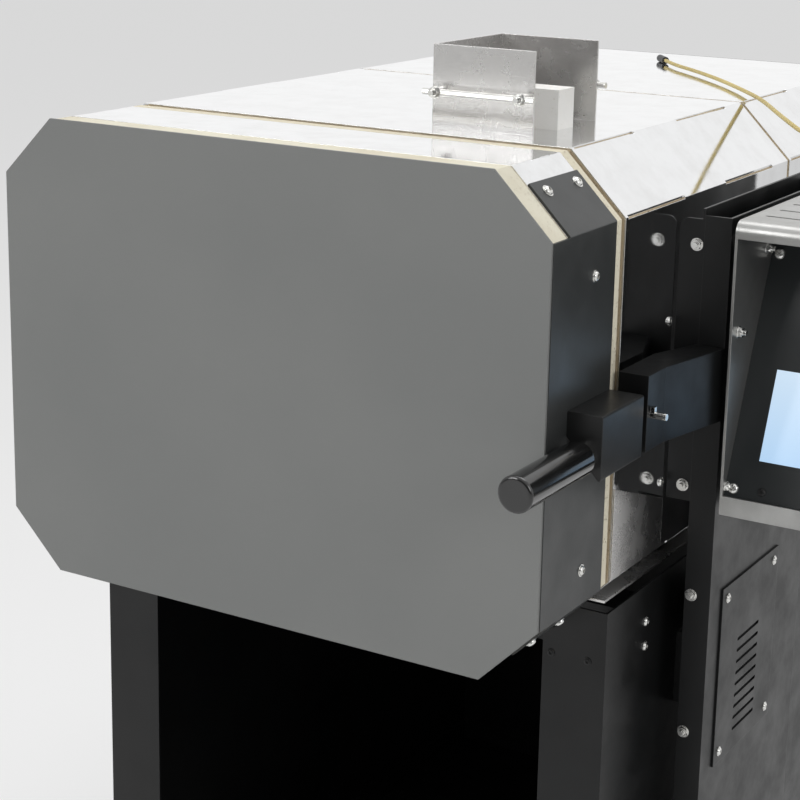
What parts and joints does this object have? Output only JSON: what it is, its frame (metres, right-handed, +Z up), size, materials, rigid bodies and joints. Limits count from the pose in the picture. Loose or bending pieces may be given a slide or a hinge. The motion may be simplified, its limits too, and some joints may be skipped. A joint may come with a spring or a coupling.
{
  "type": "heat treating kiln",
  "caption": "Front-opening octagonal heat treating kiln on a sheet-metal stand, with a side-hinged door, a latch handle and a control tower with a screen.",
  "frame": {"origin": "on the floor, at the centre of the stand's base pan", "axes": "+Z up, -Y out of the door's front, +X towards the control tower"},
  "size_m": [0.691, 0.83, 0.883],
  "materials": {
    "grey_paint": "satin powder coat",
    "fibre_board": "matt fibre board",
    "polished_stainless": "polished",
    "firebrick": "porous insulating firebrick",
    "charcoal_plate": "satin",
    "latch_black": "satin",
    "bright_steel": "bright plated",
    "grip_black": "glossy",
    "black_powder": "semi-gloss powder coat",
    "blanket": "ceramic fibre",
    "coil_alloy": "oxidised resistance wire",
    "brushed_stainless": "brushed",
    "white_ceramic": "glazed",
    "box_grey": "satin",
    "panel_grey": "satin",
    "module_black": "matt",
    "yellow_jacket": "pale yellow lead jacket",
    "screen_glass": "lit display"
  },
  "bodies": {
    "kiln": {"body_hinge_leaves": "black_powder", "hinge_pins": "bright_steel", "jacket_front": "polished_stainless", "jacket_rear": "polished_stainless", "insulation_blanket": "blanket", "rear_panel": "black_powder", "brick_roof": "firebrick", "brick_floor": "firebrick", "brick_walls": "firebrick", "brick_rear": "firebrick", "heating_coils": "coil_alloy", "side_trim": "brushed_stainless", "terminal_bracket": "brushed_stainless", "terminal_rods": "bright_steel", "terminal_block": "white_ceramic", "stand_side_right": "black_powder", "stand_side_left": "black_powder", "stand_back": "black_powder", "base_pan": "black_powder", "cross_rails": "black_powder", "tower_panel": "black_powder", "tower_straps": "black_powder", "heat_shield": "black_powder", "keeper_arm": "black_powder", "keeper_pin": "bright_steel", "box_cheeks": "box_grey", "box_cover": "box_grey", "box_base": "box_grey", "control_panel": "panel_grey", "screen_module": "module_black", "screen": "screen_glass", "box_spacers": "bright_steel", "louvred_cover": "black_powder", "sensor_lead": "yellow_jacket", "lead_glands": "module_black"},
    "door": {"door_panel": "grey_paint", "door_board": "fibre_board", "door_band": "polished_stainless", "door_brick": "firebrick", "door_side_plate_right": "charcoal_plate", "door_side_plate_left": "charcoal_plate", "latch_box": "latch_black", "handle_ferrule": "bright_steel", "handle_grip": "grip_black", "door_hinge_leaves": "black_powder"}
  },
  "joints": [
    {"name": "door_hinge", "type": "hinge", "parent": "kiln", "child": "door", "pos_m": [-0.246, -0.3245, 0.46], "axis": [0, 0, -1], "range_deg": [0, 110]}
  ]
}
